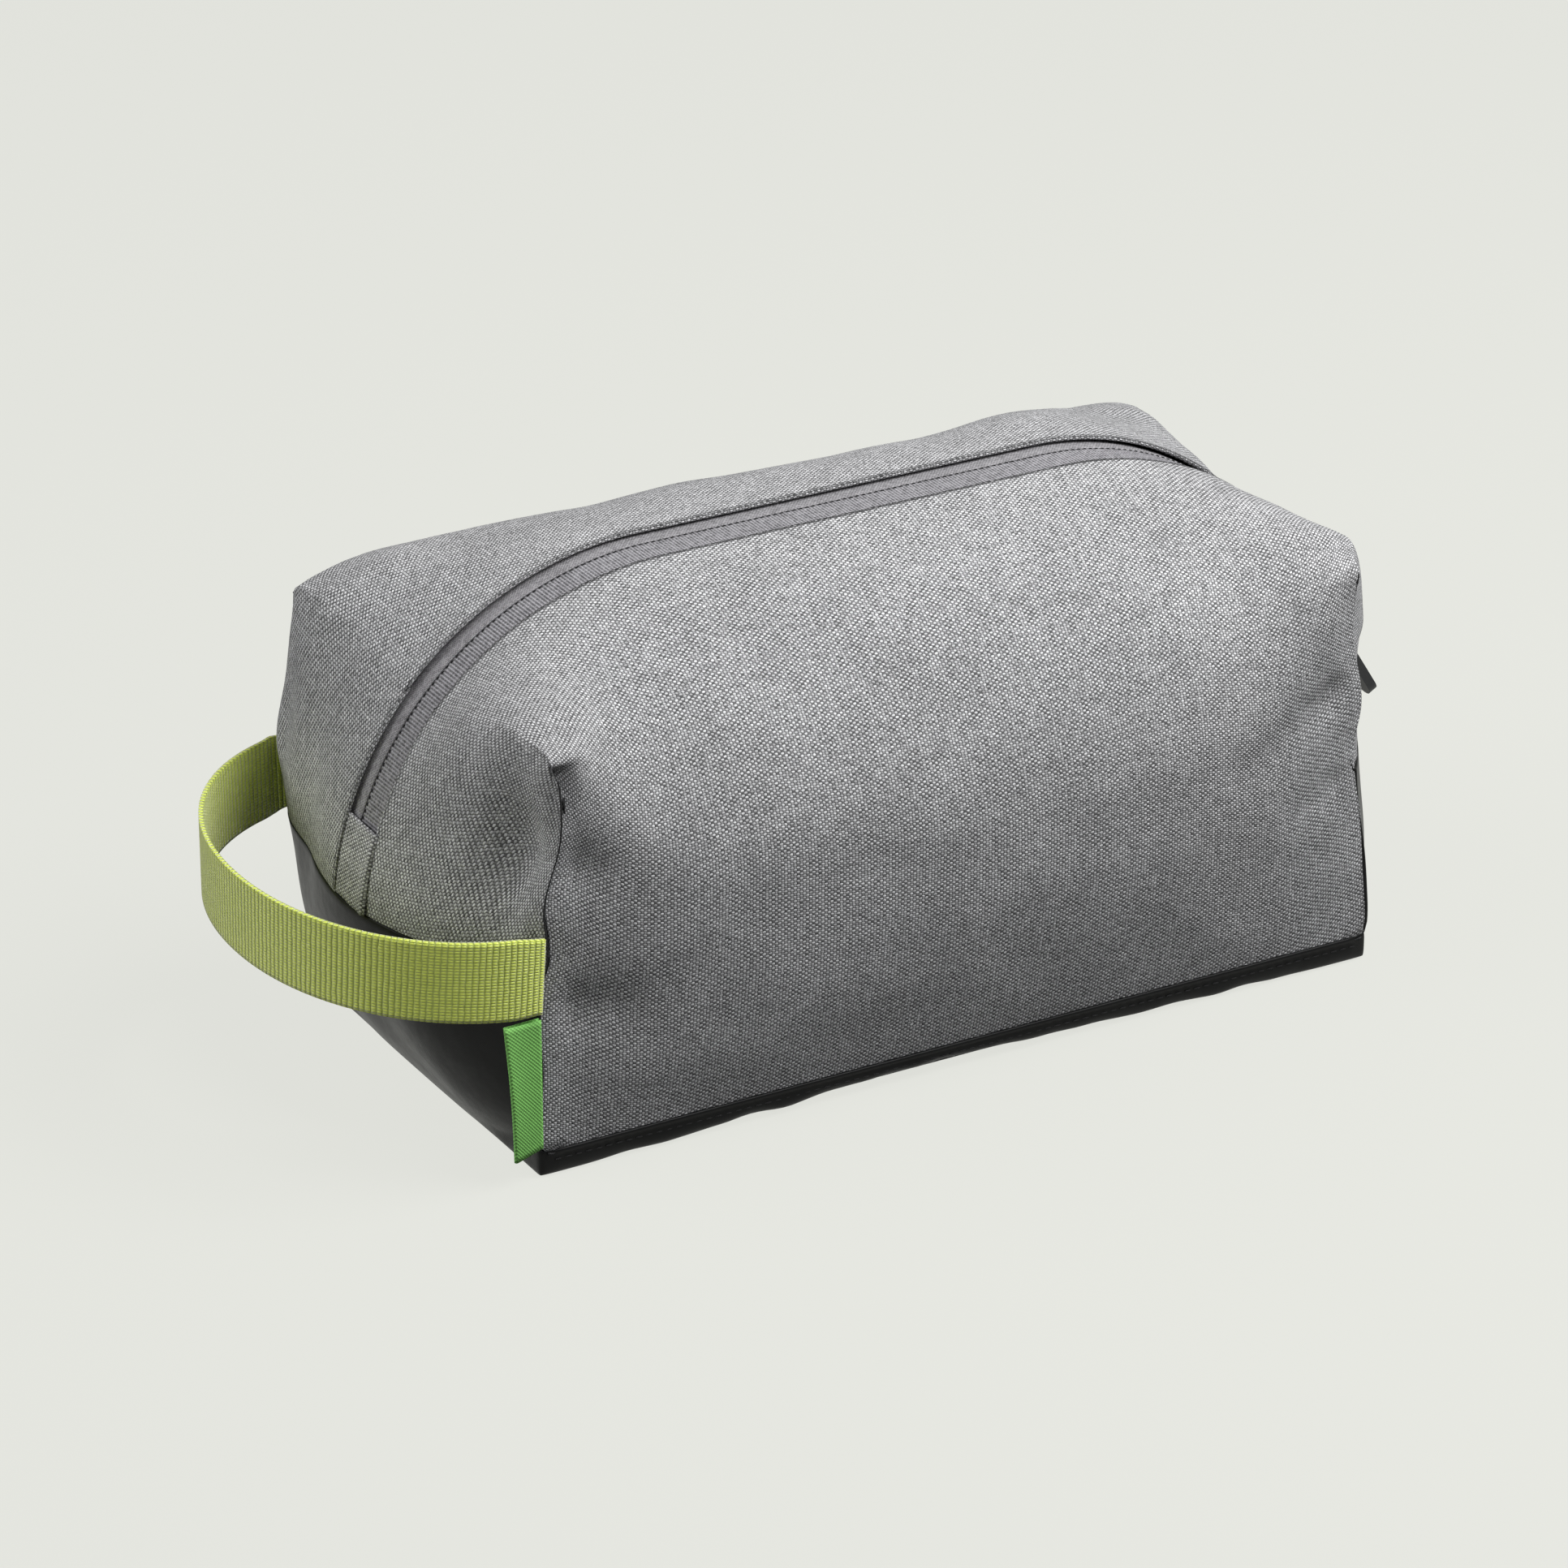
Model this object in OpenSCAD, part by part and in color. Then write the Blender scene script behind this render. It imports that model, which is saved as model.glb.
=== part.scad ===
// Zipped packing cube: a soft boxy pouch with a coated base, an arched zip and a webbing handle.
// Millimetres. X runs along the length, the front faces -Y, the base rests on Z = 0.

/* [Body] */
// Length between the upright corner seams
seam_l = 280; // [220:1:340]
// Depth between the upright corner seams
seam_d = 140; // [110:1:180]
// Height of the zip along the top
crown_h = 155; // [140:1:180]
// Radius of the shoulder that the zip follows at each end
shoulder_r = 100; // [85:1:110]
// How far each end swells past its corner seams
end_swell = 26; // [15:1:35]
// How far the front and back swell past their seams
front_swell = 3; // [1:0.5:6]
// Height of the widest level, where the base cloth ends on the ends
side_h = 64; // [58:1:72]
// How far each top corner stands above the middle of its end
corner_rise = 15; // [6:1:20]
// Roundness of the middle section, low is rounder
round_mid = 2.6; // [2.2:0.1:4]
// Sharpness of the end sections at their rim
round_end = 10; // [6:1:14]
// Sharpness of the end sections at their middle
round_dome = 2.2; // [2:0.1:4]

/* [Cloth] */
// Thickness of the woven panels with their lining
cloth_t = 1; // [0.6:0.1:1.5]
// Thickness of the coated base cloth
base_t = 1.2; // [0.8:0.1:2]
// Height of the base cloth's strip along the front and the back
strip_h = 7.5; // [5:0.5:12]
// Height of the fold line of the mouth
fold_h = 84; // [80:1:90]
// Clearance between sewn edges
seam_gap = 0.4; // [0.3:0.05:0.6]

/* [Zip] */
// Distance of the front flap's edge from the middle of the zip
zip_front = 11.5; // [9:0.5:14]
// Distance of the back flap's edge from the middle of the zip
zip_back = 5.5; // [5.3:0.1:8]
// How far the tapes run under the flaps
tape_tuck = 3; // [2:0.5:4]
// Thickness of the tape
tape_t = 0.5; // [0.4:0.1:0.8]
// Depth of the tape below the flaps' outer face
tape_depth = 1.8; // [1.6:0.1:2.2]
// Width of one half of the coil
coil_w = 2.2; // [1.6:0.1:2.6]
// Height of the coil
coil_h = 1.5; // [1.2:0.1:2]
// Gap between the two tapes
chain_gap = 1; // [0.9:0.1:1.4]
// How far each end tab stands above the fold line
tab_over = 4; // [3:0.5:8]
// How far the tapes run under each end tab
tape_lap = 3; // [2:0.5:3]

/* [Slider and puller] */
// Length of the slider
slider_l = 13; // [11:0.5:16]
// Width of the slider
slider_w = 9.2; // [7:0.1:9.6]
// Thickness of each slider plate
plate_t = 1.3; // [1:0.1:1.6]
// Free room round the tapes in the slider
slider_play = 0.35; // [0.3:0.05:0.45]
// Height of the bridge over the slider
bridge_h = 4.4; // [4:0.1:5.5]
// Width of the bridge
bridge_w = 3.2; // [2.4:0.1:3.6]
// Radius of the puller's pin
pin_r = 0.8; // [0.6:0.05:0.9]
// Length of the puller from its pin
puller_l = 49; // [30:1:55]
// Angle at which the puller stands off the cloth
puller_tilt = 8; // [6:1:20]
// Width of the puller at its round end
puller_w = 9; // [8:0.5:10]
// Thickness of the puller
puller_t = 3; // [2:0.1:3.2]

/* [Handle and label] */
// Width of the webbing
strap_w = 25; // [20:1:25]
// Thickness of the webbing
strap_t = 1.4; // [1:0.1:2]
// How far the handle stands out from the corner seams
handle_reach = 58; // [48:1:60]
// Height of the middle of the webbing
handle_h = 65; // [64:0.5:66]
// Width of the folded label
label_w = 11.5; // [8:0.5:13]
// Thickness of the folded label
label_t = 0.7; // [0.5:0.1:0.8]
// Height of the label's lower edge
label_low = 9; // [8.5:0.5:12]
// Height of the label's upper edge
label_top = 47; // [40:0.5:47]

/* [Seam binding] */
// Width of the binding on the raw seams inside
binding_w = 8.5; // [6:0.5:10]
// Thickness of the binding
binding_t = 1.5; // [1:0.1:2]

/* [Hidden] */
$fn = 64;
half_l = seam_l/2;
half_d = seam_d/2;
tab_h = fold_h + tab_over;
tape_end_h = tab_h - tape_lap;
arc_x = half_l + end_swell - shoulder_r;
arc_z = crown_h - shoulder_r;
end_top = arc_z + sqrt(pow(shoulder_r, 2) - pow(half_l - arc_x, 2));

// Numbers of steps along the cloth
length_steps = 28;
swell_steps = 7;
arch_steps = 9;
side_steps = 3;
wall_steps = 6;
across_steps = 14;

// Angle on the shoulder of a height, and the slider's parked place just above the end tab
function shoulder_angle(z) = asin((z - arc_z)/shoulder_r);
slider_angle = shoulder_angle(tab_h) + (slider_l/2 + seam_gap)/shoulder_r*180/PI;

// Shape of the filled bag

// Half depth of the bag at its widest level
function half_width(x) = half_d + front_swell*(1 - pow(x/half_l, 2));
// Height of the zip above a place on the length
function zip_z(x) = abs(x) <= arc_x ? crown_h
    : arc_z + sqrt(pow(shoulder_r, 2) - pow(abs(x) - arc_x, 2));
// Sharpness and corner rise of the cross section
function section_power(x) = round_mid + (round_end - round_mid)*pow(abs(x)/half_l, 4);
function section_rise(x) = corner_rise*pow(abs(x)/half_l, 6);
// Point of a rounded square of the given power, at an angle from its top
function round_square(a, n) = [sin(a), cos(a)]/pow(pow(abs(sin(a)), n) + pow(abs(cos(a)), n), 1/n);
// Swell of an end past its seams, from 0 at its middle to 1 at its rim
function swell(r) = r >= 1 ? 0
    : sqrt(pow(shoulder_r, 2) - pow(side_h - arc_z + r*(end_top - side_h), 2)) - (half_l - arc_x);
function rim_share(y, z) = pow(pow(abs(y)/half_d, 4) + pow(abs(side_h - z)/side_h, 4), 1/4);

// Upper cloth, at an angle from the zip, and at a depth below the outer face
function upper_point(x, a, side, depth) =
    let (u = round_square(a, section_power(x)))
    [x*(half_l - depth)/half_l,
     side*(half_width(x) - depth)*u[0],
     side_h + (zip_z(x) - depth - side_h + section_rise(x)*pow(u[0], 2))*u[1]];
// Upper cloth of an end, with r from 0 at the middle of the end to 1 at its rim
function end_power(r) = round_dome + (round_end - round_dome)*pow(r, 3);
function end_rise(r) = corner_rise*pow(r, 4);
function end_point(r, a, side, end, depth) =
    let (u = round_square(a, end_power(r)))
    [end*(half_l - depth + swell(r)),
     side*(half_d - depth)*u[0]*r,
     side_h + r*(end_top - depth - side_h + end_rise(r)*pow(u[0], 2))*u[1]];
// Upright cloth of the front and back, between the base seam and the widest level
function side_point(x, z, side, depth) =
    let (low = strip_h + seam_gap)
    [x*(half_l - depth)/half_l,
     side*(half_d - depth + front_swell*(1 - pow(x/half_l, 2))*(1 - pow((side_h - z)/(side_h - low), 2))),
     z];

// Angles where a column of cloth starts at the zip and crosses the fold line
function offset_angle(v, n) = v >= 1 ? 90 : atan(v/pow(1 - pow(v, n), 1/n));
function zip_start(x, edge, depth) = offset_angle(edge/(half_width(x) - depth), section_power(x));
function end_start(r, edge, depth) = offset_angle(edge/((half_d - depth)*r), end_power(r));
function level_angle(v, n) = v >= 1 ? 0 : atan(pow(1 - pow(v, n), 1/n)/v);
function fold_angle(x, z) = level_angle((z - side_h)/(zip_z(x) - side_h + section_rise(x)), section_power(x));
function end_fold_angle(r, z) = level_angle((z - side_h)/(r*(end_top - side_h + end_rise(r))), end_power(r));

// Closed cloth sheets

// Faces between two columns of points, as triangles
function quad(a, b, c, d, flip) = flip ? [[a, c, b], [a, d, c]] : [[a, b, c], [a, c, d]];
function patch_points(patch) = [for (column = patch) each column];
function patch_faces(n, m, first, flip) =
    [for (i = [0:n - 2], j = [0:m - 2])
        each quad(first + i*m + j, first + (i + 1)*m + j, first + (i + 1)*m + j + 1,
                  first + i*m + j + 1, flip)];
// Faces of a free edge: rim holds the edge's name and its first and last step
function rim_faces(n, m, outer, inner, rim, flip) =
    [for (k = [rim[1]:rim[2] - 1])
        let (a = rim[0] == "top" ? (k + 1)*m : rim[0] == "bottom" ? k*m + m - 1
                : rim[0] == "left" ? k : (n - 1)*m + k + 1,
             b = rim[0] == "top" ? k*m : rim[0] == "bottom" ? (k + 1)*m + m - 1
                : rim[0] == "left" ? k + 1 : (n - 1)*m + k)
        each quad(outer + a, outer + b, inner + b, inner + a, flip)];

// One closed sheet from patches of cloth. Each entry is [outer points, inner points, rims].
module quilt(patches, flip) {
    counts = [for (p = patches) len(p[0])*len(p[0][0])];
    starts = [for (i = 0, s = 0; i < len(patches); s = s + 2*counts[i], i = i + 1) s];
    points = [for (p = patches) each concat(patch_points(p[0]), patch_points(p[1]))];
    faces = [for (k = [0:len(patches) - 1])
        let (p = patches[k], n = len(p[0]), m = len(p[0][0]), s = starts[k])
        each concat(
            patch_faces(n, m, s, flip),
            patch_faces(n, m, s + counts[k], !flip),
            [for (rim = p[2]) each rim_faces(n, m, s, s + counts[k], rim, flip)])];
    polyhedron(points, faces, convexity = 8);
}

// Columns of the upper flap, over both ends and the top
function flap_columns(side, edge, depth) = concat(
    [for (i = [0:swell_steps - 1]) end_flap_column(end_share(i), side, -1, edge, depth)],
    [for (i = [0:length_steps])
        let (x = -half_l + seam_l*i/length_steps,
             a = zip_start(x, edge, depth), b = fold_angle(x, fold_h + seam_gap/2))
        [for (j = [0:arch_steps]) upper_point(x, a + (b - a)*j/arch_steps, side, depth)]],
    [for (i = [swell_steps - 1:-1:0]) end_flap_column(end_share(i), side, 1, edge, depth)]);
// Share of the way from the middle of an end to its rim: the fold line sets the lowest
first_share = 1.1*(fold_h - side_h)/(end_top - side_h);
function end_share(i) = first_share + (1 - first_share)*i/swell_steps;
function end_flap_column(r, side, end, edge, depth) =
    let (a = end_start(r, edge, depth), b = max(a + 1, end_fold_angle(r, fold_h + seam_gap/2)))
    [for (j = [0:arch_steps]) end_point(r, a + (b - a)*j/arch_steps, side, end, depth)];

module flap(side, edge) {
    outer = flap_columns(side, edge, 0);
    columns = len(outer) - 1;
    quilt([[outer, flap_columns(side, edge, cloth_t),
        [["top", 0, columns], ["bottom", 0, columns],
         ["left", 0, arch_steps], ["right", 0, arch_steps]]]], side > 0);
}

// Lower cloth of the front or back, with the two corners that it turns on to the ends
function side_columns(side, depth) =
    [for (i = [0:length_steps])
        let (x = -half_l + seam_l*i/length_steps, a = fold_angle(x, fold_h - seam_gap/2))
        concat(
            [for (j = [0:side_steps]) upper_point(x, a + (90 - a)*j/side_steps, side, depth)],
            [for (j = [1:wall_steps])
                side_point(x, side_h + (strip_h + seam_gap - side_h)*j/wall_steps, side, depth)])];
corner_steps = swell_steps + 2;
function corner_share(i, edge) = i == 0 ? (edge + 1.5)/half_d
    : i == 1 ? first_share - 0.015 : end_share(i - 2);
function corner_column(i, side, end, edge, depth) =
    let (r = corner_share(i, edge), a = end_start(r, edge, depth),
         b = i < 2 ? a : max(a + 2, end_fold_angle(r, fold_h - seam_gap/2)))
    [for (j = [0:side_steps]) end_point(r, b + (90 - b)*j/side_steps, side, end, depth)];
function corner_columns(side, end, edge, depth) =
    [for (i = end < 0 ? [0:corner_steps] : [corner_steps:-1:0])
        corner_column(i, side, end, edge, depth)];

module side_panel(side, edge) {
    rows = side_steps + wall_steps;
    quilt([
        [side_columns(side, 0), side_columns(side, cloth_t),
            [["top", 0, length_steps], ["bottom", 0, length_steps],
             ["left", side_steps, rows], ["right", side_steps, rows]]],
        [corner_columns(side, -1, edge, 0), corner_columns(side, -1, edge, cloth_t),
            [["top", 0, corner_steps], ["bottom", 0, corner_steps], ["left", 0, side_steps]]],
        [corner_columns(side, 1, edge, 0), corner_columns(side, 1, edge, cloth_t),
            [["top", 0, corner_steps], ["bottom", 0, corner_steps], ["right", 0, side_steps]]]
    ], side > 0);
}

// Coated base: a bottom, two narrow strips and two ends turned up to the widest level
strip_steps = 2;
function wall_z(j) = j <= strip_steps ? strip_h*j/strip_steps
    : strip_h + (side_h - seam_gap - strip_h)*(j - strip_steps)/wall_steps;
function across(j) = half_d*(2*j/across_steps - 1);
// Above the strips the ends keep clear of the upright seams
function end_wall_point(end, y, j, depth) =
    let (z = wall_z(j), clear = j > strip_steps ? seam_gap*sqrt(2) : 0)
    [end*(half_l - depth + swell(rim_share(y, z))),
     y*(half_d - depth - clear)/half_d,
     max(z, depth)];
function end_wall(end, depth) =
    [for (i = end < 0 ? [across_steps:-1:0] : [0:across_steps])
        [for (j = [strip_steps + wall_steps:-1:0]) end_wall_point(end, across(i), j, depth)]];
function strip_wall(side, depth) =
    [for (i = side < 0 ? [0:length_steps] : [length_steps:-1:0])
        let (x = half_l*(2*i/length_steps - 1))
        [for (j = [strip_steps:-1:0])
            [x*(half_l - depth)/half_l, side*(half_d - depth), max(wall_z(j), depth)]]];
function bottom(depth) =
    [for (i = [0:length_steps])
        let (x = half_l*(2*i/length_steps - 1))
        [for (j = [0:across_steps])
            [x*(half_l - depth)/half_l, across(j)*(half_d - depth)/half_d, depth]]];

module base_panel() {
    color("#1c1d1e")
    quilt([
        [bottom(0), bottom(base_t), []],
        for (side = [-1, 1]) [strip_wall(side, 0), strip_wall(side, base_t), [["top", 0, length_steps]]],
        for (end = [-1, 1]) [end_wall(end, 0), end_wall(end, base_t),
            [["top", 0, across_steps], ["left", 0, wall_steps], ["right", 0, wall_steps]]]
    ], false);
}

module front_panel() {
    color("#8b8c8f") side_panel(-1, zip_front);
}

module back_panel() {
    color("#8b8c8f") side_panel(1, zip_back);
}

module front_flap() {
    color("#97989b") flap(-1, zip_front);
}

module back_flap() {
    color("#97989b") flap(1, zip_back);
}

// Zip: everything follows the same arch over both shoulders

// Area under the arch, at a depth below the outer face
module arch_area(depth) {
    for (end = [-1, 1]) translate([end*arc_x, arc_z]) circle(shoulder_r - depth);
    translate([-arc_x, arc_z]) square([2*arc_x, shoulder_r - depth]);
}
// Band of the arch between two depths, above a height, from y0 to y1
module arch_band(depth, thickness, low, y0, y1) {
    translate([0, y1, 0]) rotate([90, 0, 0]) linear_extrude(y1 - y0)
    intersection() {
        difference() {
            arch_area(depth);
            arch_area(depth + thickness);
        }
        translate([-seam_l, low]) square([2*seam_l, crown_h]);
    }
}
// Cloth tab over one end of the zip
module end_tab(end) {
    margin = 1.5*seam_gap;
    intersection() {
        arch_band(0, cloth_t, side_h, -zip_front + margin, zip_back - margin);
        translate([end > 0 ? 0 : -seam_l, -half_d, 0]) cube([seam_l, seam_d, tab_h]);
    }
}

module left_end_tab() {
    color("#85868a") end_tab(-1);
}

module right_end_tab() {
    color("#85868a") end_tab(1);
}

module front_zip_tape() {
    color("#706c71")
    arch_band(tape_depth, tape_t, tape_end_h, -zip_front - tape_tuck, -chain_gap/2);
}

module back_zip_tape() {
    color("#706c71")
    arch_band(tape_depth, tape_t, tape_end_h, chain_gap/2, zip_back + tape_tuck);
}

coil_depth = tape_depth + tape_t + 0.05;
module front_zip_coil() {
    color("#2a2a2c")
    arch_band(coil_depth, coil_h, tape_end_h, -chain_gap/2 - coil_w, -chain_gap/2);
}

module back_zip_coil() {
    color("#2a2a2c")
    arch_band(coil_depth, coil_h, tape_end_h, chain_gap/2, chain_gap/2 + coil_w);
}

// Slider and puller, drawn lying on the top of the arch and then parked low on the right shoulder
module parked() {
    translate([arc_x, 0, arc_z]) rotate([0, 90 - slider_angle, 0]) translate([0, 0, shoulder_r]) children();
}
module round_plate(l, w, t, r) {
    linear_extrude(t) {
        square([l - 2*r, w], center = true);
        square([l, w - 2*r], center = true);
        for (x = [-1, 1], y = [-1, 1]) translate([x*(l/2 - r), y*(w/2 - r)]) circle(r);
    }
}
top_plate_z = -tape_depth + slider_play;
low_plate_z = -coil_depth - coil_h - slider_play - plate_t;
blade_t = chain_gap/2;
post_l = 1.3;
bridge_x0 = -3.3;
bridge_x1 = slider_l/2 - 0.3;
pin_x = bridge_x1 - post_l - pin_r - 0.7;
pin_z = bridge_h - 1 - pin_r - 0.6;
plate_top = top_plate_z + plate_t;

module zip_slider() {
    color("#3a3b3d") parked() {
        translate([0, 0, top_plate_z]) round_plate(slider_l, slider_w, plate_t, 2);
        translate([0, 0, low_plate_z]) round_plate(slider_l, slider_w, plate_t, 2);
        translate([slider_l/2 - 4.5, -blade_t/2, low_plate_z])
            cube([3.5, blade_t, plate_top - low_plate_z]);
        difference() {
            translate([bridge_x0, -bridge_w/2, plate_top - 0.2])
                cube([bridge_x1 - bridge_x0, bridge_w, bridge_h - plate_top + 0.2]);
            translate([bridge_x0 + post_l, -bridge_w, plate_top])
                cube([bridge_x1 - bridge_x0 - 2*post_l, 2*bridge_w, bridge_h - 1 - plate_top]);
        }
    }
}

arm_t = 1.1;
arm_y = bridge_w/2 + 0.4;
grip_x = norm([bridge_x1 - pin_x, bridge_h - pin_z]) + 0.6;
module zip_puller() {
    end_r = puller_w/2;
    tip_x = puller_l - end_r;
    color("#35373a") parked() translate([pin_x, 0, pin_z]) rotate([0, -puller_tilt, 0]) {
        translate([0, arm_y + arm_t, 0]) rotate([90, 0, 0]) cylinder(r = pin_r, h = 2*(arm_y + arm_t));
        for (side = [-1, 1]) translate([0, side*(arm_y + arm_t/2) - arm_t/2, -pin_r])
            cube([grip_x + 1, arm_t, 2*pin_r]);
        translate([0, 0, -puller_t/2]) linear_extrude(puller_t) {
            polygon([[grip_x, -arm_y - arm_t], [grip_x, arm_y + arm_t], [tip_x, end_r], [tip_x, -end_r]]);
            translate([tip_x, 0]) circle(end_r);
        }
    }
}

// Webbing handle on the left end: one band in a rounded D, sewn in at both upright seams
handle_round = 2.3;
handle_x = half_l + 0.3;
handle_y = half_d + 0.65 + strap_t;
handle_steps = 24;
function handle_column(i, depth) =
    let (u = round_square(-90 + 180*i/handle_steps, handle_round))
    [for (z = [handle_h + strap_w/2, handle_h - strap_w/2])
        [-handle_x - (handle_reach - depth)*u[1], -(handle_y - depth)*u[0], z]];
function handle_band(depth) = [for (i = [0:handle_steps]) handle_column(i, depth)];
module handle() {
    color("#b4d331")
    quilt([[handle_band(0), handle_band(strap_t),
        [["top", 0, handle_steps], ["bottom", 0, handle_steps], ["left", 0, 1], ["right", 0, 1]]]], false);
}

// Folded label in the front left seam, standing out to the left
module label_tab() {
    color("#5fae55") translate([-half_l - 0.8 - label_w, -half_d - label_t/2, label_low])
        cube([label_w, label_t, label_top - label_low]);
}

// Binding on the raw seams inside
binding_seat = 0.3;
module base_binding(side) {
    inset = half_d - base_t - binding_seat;
    color("#232426") translate([-half_l + 2*binding_w, side > 0 ? inset - binding_w : -inset, strip_h + 1])
        cube([seam_l - 4*binding_w, binding_w, binding_t]);
}
module end_binding(end) {
    span = half_d - 1.5*binding_w;
    function edge(y, inset) = [end*(half_l - base_t - inset + swell(abs(y)/half_d)),
        y*(half_d - base_t - inset - seam_gap*sqrt(2))/half_d];
    ys = [for (j = [0:across_steps]) span*(2*j/across_steps - 1)];
    color("#232426") translate([0, 0, side_h - binding_t - 2*seam_gap]) linear_extrude(binding_t)
        polygon(concat(
            [for (y = ys) edge(y, 2*binding_seat)],
            [for (j = [across_steps:-1:0]) edge(ys[j], 2*binding_seat + binding_w)]));
}
module corner_strip(side, end, low, high) {
    inset = max(base_t, cloth_t) + 0.9;
    color("#232426") translate([end*(half_l - inset), side*(half_d - inset), low])
        rotate([0, 0, atan2(-side, -end)]) translate([0, -binding_t/2, 0])
        cube([binding_w, binding_t, high - low]);
}
corner_low = strip_h + binding_t + 2;
corner_high = fold_h - 2;
dart_low = fold_h + 2;
dart_high = end_top - 8;

module front_base_binding() {
    base_binding(-1);
}

module back_base_binding() {
    base_binding(1);
}

module left_end_binding() {
    end_binding(-1);
}

module right_end_binding() {
    end_binding(1);
}

module front_left_corner_binding() {
    corner_strip(-1, -1, corner_low, corner_high);
}

module front_right_corner_binding() {
    corner_strip(-1, 1, corner_low, corner_high);
}

module back_left_corner_binding() {
    corner_strip(1, -1, corner_low, corner_high);
}

module back_right_corner_binding() {
    corner_strip(1, 1, corner_low, corner_high);
}

module front_dart_bindings() {
    for (end = [-1, 1]) corner_strip(-1, end, dart_low, dart_high);
}

module back_dart_bindings() {
    for (end = [-1, 1]) corner_strip(1, end, dart_low, dart_high);
}

base_panel();
front_panel();
back_panel();
front_flap();
back_flap();
left_end_tab();
right_end_tab();
front_zip_tape();
back_zip_tape();
front_zip_coil();
back_zip_coil();
zip_slider();
zip_puller();
handle();
label_tab();
front_base_binding();
back_base_binding();
left_end_binding();
right_end_binding();
front_left_corner_binding();
front_right_corner_binding();
back_left_corner_binding();
back_right_corner_binding();
front_dart_bindings();
back_dart_bindings();
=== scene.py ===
import math

import bmesh
import bpy
import numpy as np
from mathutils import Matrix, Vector, noise


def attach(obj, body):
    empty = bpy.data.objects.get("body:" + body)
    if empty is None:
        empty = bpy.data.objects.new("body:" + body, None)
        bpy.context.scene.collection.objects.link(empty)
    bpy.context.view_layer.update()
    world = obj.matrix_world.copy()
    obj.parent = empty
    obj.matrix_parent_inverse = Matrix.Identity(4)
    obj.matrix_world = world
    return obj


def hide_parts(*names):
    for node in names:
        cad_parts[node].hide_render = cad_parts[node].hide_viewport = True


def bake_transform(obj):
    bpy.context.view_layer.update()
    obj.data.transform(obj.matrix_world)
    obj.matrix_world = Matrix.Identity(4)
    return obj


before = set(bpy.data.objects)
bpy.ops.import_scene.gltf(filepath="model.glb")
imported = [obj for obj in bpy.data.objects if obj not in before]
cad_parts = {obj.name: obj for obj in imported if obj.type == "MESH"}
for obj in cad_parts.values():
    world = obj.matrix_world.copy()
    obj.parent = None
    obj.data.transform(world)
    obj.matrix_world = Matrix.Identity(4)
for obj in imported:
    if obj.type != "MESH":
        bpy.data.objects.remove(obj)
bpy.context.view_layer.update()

# Shape of the filled bag, in metres: seams, zip and base lie as in the construction, the cloth is fuller

# Half the length and the depth between the upright seams
HALF_L, HALF_D = 0.140, 0.070
# Height of the zip, radius of its shoulders, height of the black ends
CROWN, RADIUS, SIDE = 0.155, 0.100, 0.064
# Middle of the right shoulder's arc
ARC_X, ARC_Z = 0.066, 0.055
END_TOP = ARC_Z + math.sqrt(RADIUS**2 - (HALF_L - ARC_X)**2)
# Swell of front and back, rise of the ears
FRONT_SWELL, RISE = 0.0085, 0.0125
# Sharpness of a cross-section at its ends
SHARP = 16

# Front (-1) and back (1): cloth edge from the middle of the zip, how late the ends turn sharp,
# roundness in the middle, drop of the shoulder and rise of the level where it starts
EDGE = {-1: 0.0115, 1: 0.0055}
PINCH = {-1: 14, 1: 6}
ROUND = {-1: 2.0, 1: 2.5}
DROP = {-1: 0.008, 1: 0.0}
SPRING = {-1: 0.012, 1: 0.0}
LID = {-1: "front_lid", 1: "back_lid"}
WORD = {-1: "front", 1: "back"}

# Thicknesses, and the width of the webbing
CLOTH_T, COATED_T, TAPE_T, TAB_T, LABEL_T, BIND_T = 0.0007, 0.0008, 0.0005, 0.0005, 0.0003, 0.0003
WEB_W, WEB_T = 0.025, 0.0013
# Height of the base strip's edge, and of the ends' upper edge
STRIP_TOP, BLACK_TOP = 0.0079, 0.0632
# Points closer than this are one
FINE = 0.00002


def ramp(x, lo, hi):
    """Smooth step from 0 at lo to 1 at hi."""
    t = min(max((x - lo)/(hi - lo), 0), 1)
    return t*t*(3 - 2*t)


def bump(d):
    """Bell of height 1 round 0."""
    return math.exp(-d*d)


def round_square(a, n):
    """Point at an angle on a curve between circle and square, n being its squareness."""
    s, c = math.sin(a), math.cos(a)
    m = (abs(s)**n + abs(c)**n)**(1/n)
    return s/m, c/m


def start_angle(v, n):
    """Angle at which that curve is v out from the middle."""
    return math.pi/2 if v >= 1 else math.atan2(v, (1 - v**n)**(1/n))


def zip_z(x):
    """Height of the zip at a place along the length."""
    return CROWN if abs(x) <= ARC_X else ARC_Z + math.sqrt(RADIUS**2 - (abs(x) - ARC_X)**2)


def half_width(x):
    """Half the depth of the filled bag at a place along the length."""
    return HALF_D + FRONT_SWELL*(1 - abs(x/HALF_L)**3)


def power(x, s):
    """Squareness of a cross-section: round in the middle, pinched at the ends, later at the front."""
    return ROUND[s] + (SHARP - ROUND[s])*(abs(x)/HALF_L)**PINCH[s]


def upper(x, a, s):
    """A point of front or back above the widest level, a being the angle out from the zip."""
    u, w = round_square(a, power(x, s))
    far = abs(x)/HALF_L
    lift = (RISE + DROP[s])*far**6 - DROP[s]
    spring = SIDE + SPRING[s]*(1 + 0.8*far**2)*(1 - far**16)
    return Vector((x, s*half_width(x)*u, spring + (zip_z(x) - spring + lift*u*u)*w))


def wall(x, z, s):
    """A point of front or back below the widest level."""
    t = (SIDE - z)/(SIDE - STRIP_TOP)
    return Vector((x, s*(HALF_D + (half_width(x) - HALF_D)*(1 - t*t)), z))


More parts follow.
